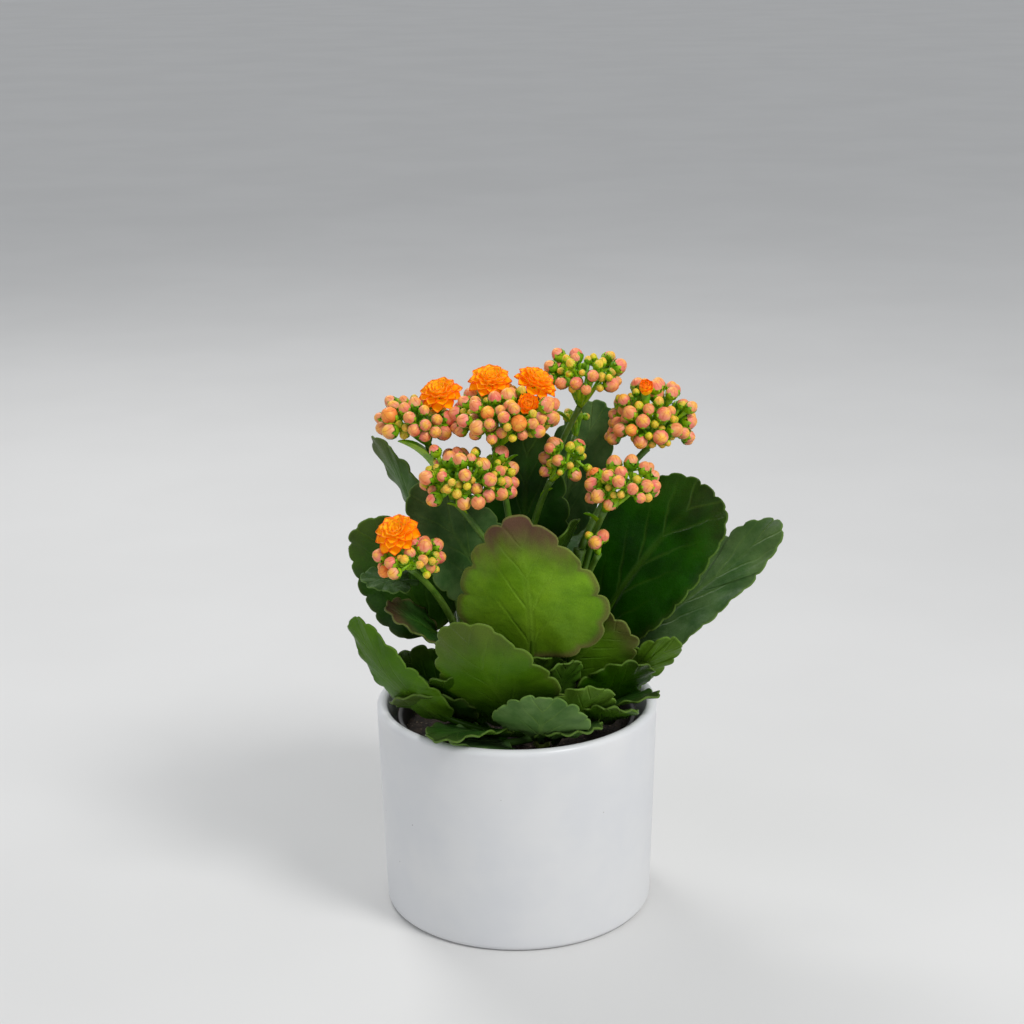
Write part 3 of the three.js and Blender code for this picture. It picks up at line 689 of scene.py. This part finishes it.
def blade(bm, length, width, arch, petiole, taper, pitch, seed):
    """
    A scalloped blade with rounded edges: a thin turned disc whose rim is drawn out to the margin.
    Returns each vertex's place on the flat blade.
    """
    rings = LEAF["rings"]
    shares = [1 - (1 - i / rings) ** 1.4 for i in range(rings + 1)]
    profile = [(share, 1.0) for share in shares[:-1]]
    profile += [(1 + math.cos(a), math.sin(a)) for a in (1.1, 0.5, 0.0, -0.5, -1.1)]
    profile += [(share, -1.0) for share in reversed(shares[:-1])]
    turn_profile(bm, profile, LEAF["steps"])
    rim_layer, face_layer = (bm.verts.layers.float.new(name) for name in ("rim", "face"))
    count = LEAF["steps"] // 2
    sides = [scalloped_outline(length, width, petiole, taper, pitch, seed + side) for side in (0, 40)]
    middle = length * (petiole + (1 - petiole) * 0.48)
    flat = {}
    for vert in bm.verts:
        share = min(vert.co.xy.length, 1.0)
        swell = max(vert.co.xy.length - 1.0, 0.0) * LEAF["edge"]
        turn = math.atan2(vert.co.y, vert.co.x)
        face = vert.co.z
        side = 1 if turn > 0 else -1
        place = count - round(abs(turn) / math.pi * count)
        along, half = sides[side > 0][place]
        x = middle + (along - middle) * (share + swell / length)
        y = side * half * share + side * swell
        across = y / max(width / 2, MM)
        thick = LEAF["edge"] + (LEAF["thick"] - LEAF["edge"]) * (1 - share * share)
        lift = LEAF["cup"] * width / 2 * across * across
        lift += CRINKLE["wave"] * share ** 5 * math.sin(11 * turn + seed)
        lift += noise.noise(Vector((x * 28, y * 34, seed))) * 0.03 * length * share
        blister = noise.noise(Vector((x * 130, y * 130, seed + 9)))
        lift += blister * CRINKLE["blister"] * share * (1.3 - share)
        lift -= CRINKLE["groove"] * math.exp(-((y / CRINKLE["groove_width"]) ** 2)) * (1 - x / length)
        vert[rim_layer] = share
        vert[face_layer] = face
        flat[vert] = (x / length, y / (width / 2))
        vert.co = bent(x, y + sway(x, length, seed), lift + thick * face, length, arch)
    return flat


def sway(x, length, seed):
    """Sideways bow of a leaf's midrib."""
    return 0.035 * length * math.sin(math.pi * x / length) * math.sin(seed * 2.4)


def petiole_rod(bm, length, arch, petiole, seed, flat):
    """The leaf's own stalk, which fades into the midrib."""
    end = petiole + 0.3 * (1 - petiole)
    shares = [end * i / 14 for i in range(15)]
    points = [bent(s * length, sway(s * length, length, seed), -0.3 * MM, length, arch) for s in shares]
    radii = [PETIOLE_RADIUS * (1 - 0.75 * smoothstep(petiole * 0.7, end, s)) for s in shares]
    for vert in rod(bm, points, radii, 12):
        vert[bm.verts.layers.float["face"]] = -0.4
        flat[vert] = (0.0, 0.3)


def write_flat(bm, flat):
    """Stores each vertex's place on the flat blade as a UV map."""
    layer = bm.loops.layers.uv.new("blade")
    for face in bm.faces:
        for loop in face.loops:
            loop[layer].uv = flat[loop.vert]


def fit(bm, low, high):
    """Stretches a mesh to a box."""
    corners = [[pick(vert.co[k] for vert in bm.verts) for k in range(3)] for pick in (min, max)]
    have_low, have_high = Vector(corners[0]), Vector(corners[1])
    scale = [(high[k] - low[k]) / (have_high[k] - have_low[k]) for k in range(3)]
    place = Matrix.Translation(low) @ Matrix.Diagonal((*scale, 1.0)) @ Matrix.Translation(-have_low)
    bmesh.ops.transform(bm, matrix=place, verts=bm.verts)


def leaf_body(row, seed):
    """A leaf with its root on the origin, from its row of figures."""
    turn, rise, long, wide, roll, arch, petiole, taper, pitch, pale, blush, bloom = row
    length, width = long * MM, wide * MM
    bm = bmesh.new()
    flat = blade(bm, length, width, arch, petiole, taper, pitch * MM, seed)
    petiole_rod(bm, length, arch, petiole, seed, flat)
    write_flat(bm, flat)
    bmesh.ops.recalc_face_normals(bm, faces=bm.faces)
    bmesh.ops.transform(bm, matrix=leaf_rotation(turn, rise, roll).to_4x4(), verts=bm.verts)
    for key, value in (("pale", pale), ("blush", blush), ("bloom", bloom)):
        layer = bm.verts.layers.float.new(key)
        for vert in bm.verts:
            vert[layer] = value
    return bm


def leaf(name, seed, finish):
    """A leaf in its CAD node's box."""
    bm = leaf_body(LEAVES[name], seed)
    fit(bm, *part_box(name))
    keep(bm, name.replace("leaf", "blade"), [finish], "leaf", name)


def underleaf(name, seed, finish):
    """A small leaf among the foot of the plant."""
    root, row = UNDERLEAVES[name]
    bm = leaf_body(row, seed)
    bmesh.ops.translate(bm, vec=Vector(root) * MM, verts=bm.verts)
    keep(bm, name, [finish], "leaf")


# ---------------------------------------------------------------- buds and flowers

def merge(bm, part):
    """Adds a finished small part to a larger one."""
    mesh = bpy.data.meshes.new("part")
    part.to_mesh(mesh)
    part.free()
    bm.from_mesh(mesh)
    bpy.data.meshes.remove(mesh)


def head_layers(bm):
    """Adds the layers that the bud material reads, and returns them."""
    return [bm.verts.layers.float.new(name) for name in ("reach", "turn", "ripe")]


def dome_point(centre, across, up, i, count):
    """Point i of count on a rounded head, spaced by the golden angle."""
    polar = math.radians(BUD["reach"]) * math.sqrt((i + 0.5) / count)
    turn = i * GOLDEN_ANGLE
    ring = across * math.sin(polar)
    return centre + Vector((ring * math.cos(turn), ring * math.sin(turn), up * math.cos(polar)))


def furled_bud(ripe):
    """An egg-shaped bud of furled petals, of radius 1, with its calyx."""
    bm = bmesh.new()
    reach, around, ripeness = head_layers(bm)
    sides, rings = BUD["sides"], BUD["rings"]
    made = bmesh.ops.create_uvsphere(bm, u_segments=sides, v_segments=rings, radius=1.0)["verts"]
    for vert in made:
        turn = math.atan2(vert.co.y, vert.co.x)
        height = vert.co.z
        vert[reach] = (height + 1) / 2
        vert[around] = turn / math.tau + 0.5
        vert[ripeness] = ripe
        slim = (1 - 0.08 * height) * (1 + 0.035 * math.cos(4 * turn + 1.6 * height))
        vert.co = Vector((vert.co.x * slim, vert.co.y * slim, height * BUD["long"]))
    cup = bmesh.ops.create_uvsphere(bm, u_segments=16, v_segments=6, radius=1.0)["verts"]
    cover = 1.0 - 0.45 * min(ripe, 1.0)
    for vert in cup:
        turn = math.atan2(vert.co.y, vert.co.x)
        point = (0.5 + 0.5 * math.cos(4 * turn)) ** 1.5
        x, y, height = vert.co
        if height > 0.6:
            vert.co = Vector((x * 0.4, y * 0.4, -0.5))
        elif height > 0.1:
            wide = math.sqrt(max(1 - (cover * point - 0.2) ** 2, 0.3)) * 1.07
            vert.co = Vector((math.cos(turn) * wide, math.sin(turn) * wide, -0.5 + (0.3 + cover) * point))
        else:
            vert.co = Vector((x * 1.06, y * 1.06, height * 1.2 - 0.05))
    for face in {face for vert in cup for face in vert.link_faces}:
        face.material_index = 1
    return bm


def twig(start, end, thick, thin, droop=0.12):
    """A short curved branch."""
    bm = bmesh.new()
    head_layers(bm)
    middle = (start + end) / 2 + Vector((0, 0, -droop * (end - start).length))
    points = curve_points(start, middle, end, 5)
    radii = [thick + (thin - thick) * (i / 5) ** 2 for i in range(6)]
    rod(bm, points, radii, 8, material=1)
    return bm


def flower_facts(name):
    """Foot, facing, radius, depth and openness of an open flower in its CAD node's box."""
    _, turn, rise, scale, openness = FLOWERS[name]
    low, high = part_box(name)
    facing = heading(turn, rise)
    radius, depth = FLOWER["radius"] * scale, FLOWER["depth"] * scale
    return (low + high) / 2 - facing * depth / 2, facing, radius, depth, openness


def scatter_buds(name, dice, centre, across, up, flowers):
    """Places [middle, radius, ripeness] of a head's buds, pushed apart and clear of its flowers."""
    green = HEADS[name][2]
    cap = 1 - math.cos(math.radians(BUD["reach"]))
    area = math.tau * across * (0.45 * across + 0.55 * up) * cap
    count = max(4, round(area / BUD["area"]))
    buds = []
    for i in range(count):
        small = dice.random() < green
        size = BUD["radius"] * (dice.uniform(0.48, 0.72) if small else dice.uniform(0.76, 1.12))
        place = dome_point(centre, across, up, i, count)
        place += Vector([dice.uniform(-1, 1) for _ in range(3)]) * 2.4 * MM
        place += (centre - place) * (dice.uniform(0.0, 0.25) if small else dice.uniform(-0.06, 0.08))
        ripe = dice.uniform(0.0, 0.35) if small else dice.uniform(0.75, 1.0)
        if ripe > OPENING_RIPENESS:
            ripe, size = 1.4, 1.12 * size
        buds.append([place, size, ripe])
    for _ in range(BUD_SETTLING):
        for first, second in combinations(buds, 2):
            gap = second[0] - first[0]
            need = 0.97 * (first[1] + second[1])
            if gap.length < need:
                push = gap.normalized() * (need - gap.length) / 2
                first[0] -= push
                second[0] += push
        for bud in buds:
            for foot, facing, reach, depth, _ in flowers:
                ahead = min(max((bud[0] - foot).dot(facing), 0.6 * depth), 4 * depth)
                gap = bud[0] - (foot + facing * ahead)
                need = 0.85 * reach + bud[1]
                if gap.length < need:
                    bud[0] += gap.normalized() * (need - gap.length)
    low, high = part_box(name)
    for bud in buds:
        bud[0] = Vector([min(max(bud[0][k], low[k] + bud[1]), high[k] - bud[1]) for k in range(3)])
    return buds


def bud_head(name, seed, finishes):
    """A head of buds: branches from the fork, shorter ones from those, and a bud on each."""
    stalk, flatness, _ = HEADS[name]
    dice = random.Random(seed)
    low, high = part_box(name)
    fork = stalk_points(stalk)[-1]
    across = min(high.x - low.x, high.y - low.y) / 2 - 0.8 * BUD["radius"]
    up = flatness * across
    centre = Vector(((low.x + high.x) / 2, (low.y + high.y) / 2, high.z - up - BUD["radius"]))
    flowers = [flower_facts(key) for key, row in FLOWERS.items() if row[0] == name]
    buds = scatter_buds(name, dice, centre, across, up, flowers)
    bm = bmesh.new()
    head_layers(bm)
    branches = max(3, round(len(buds) / BRANCH["buds"]))
    ends = [dome_point(centre, 0.55 * across, 0.15 * up, i, branches) for i in range(branches)]
    for end in ends:
        merge(bm, twig(fork, end, BRANCH["thick"], BRANCH["thin"]))
    for place, size, ripe in buds:
        start = min(ends, key=lambda end: (end - place).length)
        lean = (place - start).normalized() + 0.4 * (place - centre).normalized() + 0.3 * UP
        lean.normalize()
        part = furled_bud(ripe)
        bmesh.ops.transform(part, matrix=aimed(place, lean) @ Matrix.Scale(size, 4), verts=part.verts)
        merge(bm, part)
        merge(bm, twig(start, place - lean * size * 1.1, PEDICEL_RADIUS, 0.38 * size))
    for foot, facing, _, depth, _ in flowers:
        merge(bm, twig(fork, foot + facing * 0.3 * depth, BRANCH["thin"], FLOWER["neck"], 0.0))
    bmesh.ops.recalc_face_normals(bm, faces=bm.faces)
    keep(bm, name.replace("buds", "bud_head"), finishes, "bud", name)


def bract(name, finish):
    """A small pointed leaf, folded along its middle, that clasps a flower stalk."""
    stalk, height, turn, rise, length, width = BRACTS[name]
    root = min(stalk_points(stalk, 40), key=lambda point: abs(point.z - height * MM))
    bm = bmesh.new()
    made = bmesh.ops.create_uvsphere(bm, u_segments=16, v_segments=16, radius=1.0)["verts"]
    lie = aimed(root, heading(turn, rise))
    for vert in made:
        x, y, along = vert.co
        narrow = 0.35 + 0.65 * (1 - along) / 2 + 0.25 * (1 - along * along)
        fold = 0.5 * abs(x) * width / 2
        arched = 0.12 * length * (1 - along * along)
        vert.co = Vector((x * narrow * width / 2, y * 0.45 + fold + arched, (along + 1) * length / 2)) * MM
    bmesh.ops.transform(bm, matrix=lie, verts=made)
    bmesh.ops.recalc_face_normals(bm, faces=bm.faces)
    keep(bm, name, [finish], "stem")


def petal(length, width, curl, tier):
    """One broad cupped petal along +X."""
    bm = bmesh.new()
    layers = [bm.verts.layers.float.new(name) for name in ("reach", "edge", "layer")]
    made = bmesh.ops.create_grid(bm, x_segments=8, y_segments=6, size=1.0)["verts"]
    for vert in made:
        share, side = (vert.co.x + 1) / 2, vert.co.y
        foot = 0.35 + 0.65 * math.sin(math.pi / 2 * min(share / 0.6, 1.0))
        tip = math.sqrt(max(1 - max((share - 0.55) / 0.45, 0.0) ** 2.4, 0.004))
        half = width / 2 * foot * tip
        for layer, value in zip(layers, (share, abs(side), tier)):
            vert[layer] = value
        cup = 0.28 * width * side * side * tip
        ripple = 0.03 * length * share * math.sin(5 * side + 4 * share + 9 * tier)
        vert.co = Vector((length * share, half * side, cup + curl * length * share ** 2.5 + ripple))
    return bm


def open_flower(name, seed, finishes):
    """A double flower: tiers of petals, flat outside and upright inside."""
    foot, facing, radius, depth, openness = flower_facts(name)
    dice = random.Random(seed)
    bm = bmesh.new()
    stand = aimed(foot, facing)
    closing = 1 - openness
    for number, (count, long, rise, lift) in enumerate(PETAL_TIERS):
        tier = number / (len(PETAL_TIERS) - 1)
        length = radius * long * (1 + 0.35 * closing)
        for i in range(count):
            turn = 360 * (i + 0.5 * number) / count + dice.uniform(-6, 6)
            slope = min(rise + 48 * closing * (1 - 0.5 * tier) + dice.uniform(-5, 5), 86)
            curl = dice.uniform(-0.14, -0.04) + 0.12 * tier + 0.42 * closing
            size = length * dice.uniform(0.93, 1.0)
            part = petal(size, 0.66 * size, curl, tier)
            lie = Matrix.Rotation(math.radians(turn), 4, "Z")
            lie = lie @ Matrix.Translation((0.06 * radius, 0, radius * lift))
            lie = lie @ Matrix.Rotation(-math.radians(slope), 4, "Y")
            bmesh.ops.transform(part, matrix=stand @ lie, verts=part.verts)
            merge(bm, part)
    piece = keep(bm, name.replace("open_flower", "double_flower"), finishes, "petal", name)
    shell = piece.modifiers.new("thickness", "SOLIDIFY")
    shell.thickness = FLOWER["petal"]
    shell.offset = 0.0


# ---------------------------------------------------------------- stage

def stage(finish):
    """The plain floor that the pot stands on."""
    bpy.ops.mesh.primitive_plane_add(size=24)
    floor = bpy.context.object
    floor.name = "floor"
    floor.data.materials.append(finish)


def area_light(name, place, size, power, tint=(1, 1, 1)):
    """A round soft light aimed at the plant."""
    data = bpy.data.lights.new(name, "AREA")
    data.shape = "DISK"
    data.size = size
    data.energy = power
    data.color = tint
    lamp = bpy.data.objects.new(name, data)
    lamp.location = place
    lamp.rotation_euler = (Vector((0, 0, 0.16)) - Vector(place)).to_track_quat("-Z", "Y").to_euler()
    bpy.context.scene.collection.objects.link(lamp)


def lighting():
    """Soft daylight from the upper right, a cooler weak fill from the left and a light from behind."""
    world = bpy.data.worlds.new("studio")
    world.use_nodes = True
    sky = world.node_tree.nodes["Background"].inputs
    sky["Color"].default_value = (0.93, 0.96, 1.0, 1.0)
    sky["Strength"].default_value = 0.54
    bpy.context.scene.world = world
    area_light("key", (0.8, -0.75, 1.35), 0.5, 13.5)
    area_light("fill", (-1.2, -0.9, 0.9), 1.0, 1.2, (0.9, 0.95, 1.0))
    area_light("back", (-0.5, 0.9, 1.3), 0.6, 8)


def camera():
    """The viewpoint: in front of the plant, a little above it."""
    data = bpy.data.cameras.new("camera")
    data.sensor_width = 36
    data.lens = 70.3
    view = bpy.data.objects.new("camera", data)
    view.location = (0, -0.934, 0.482)
    view.rotation_euler = Euler((math.radians(90 - 16.66), math.radians(0.68), math.radians(-0.13)))
    bpy.context.scene.collection.objects.link(view)
    bpy.context.scene.camera = view
    bpy.context.scene.view_settings.view_transform = "Standard"


# ---------------------------------------------------------------- the plant in its pot

camera()
lighting()
stage(pale_floor())
cover_pot(ceramic())
grow_pot(nursery_plastic())
soil(peat())
STEM_GREEN = green_stem()
LEAF_FLESH = leaf_flesh()
BUD_SKIN = bud_skin()
CALYX = calyx_green()
PETAL = petal_skin()
for node_name in sorted(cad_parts):
    if node_name.startswith("stem_"):
        main_stem(node_name, STEM_GREEN)
    if node_name.startswith("stalk_"):
        flower_stalk(node_name, STEM_GREEN)
for number, node_name in enumerate(LEAVES):
    leaf(node_name, number + 1, LEAF_FLESH)
for number, leaf_name in enumerate(UNDERLEAVES):
    underleaf(leaf_name, number + 31, LEAF_FLESH)
for number, node_name in enumerate(HEADS):
    bud_head(node_name, number + 1, [BUD_SKIN, CALYX])
for number, node_name in enumerate(FLOWERS):
    open_flower(node_name, number + 1, [PETAL])
for bract_name in BRACTS:
    bract(bract_name, CALYX)
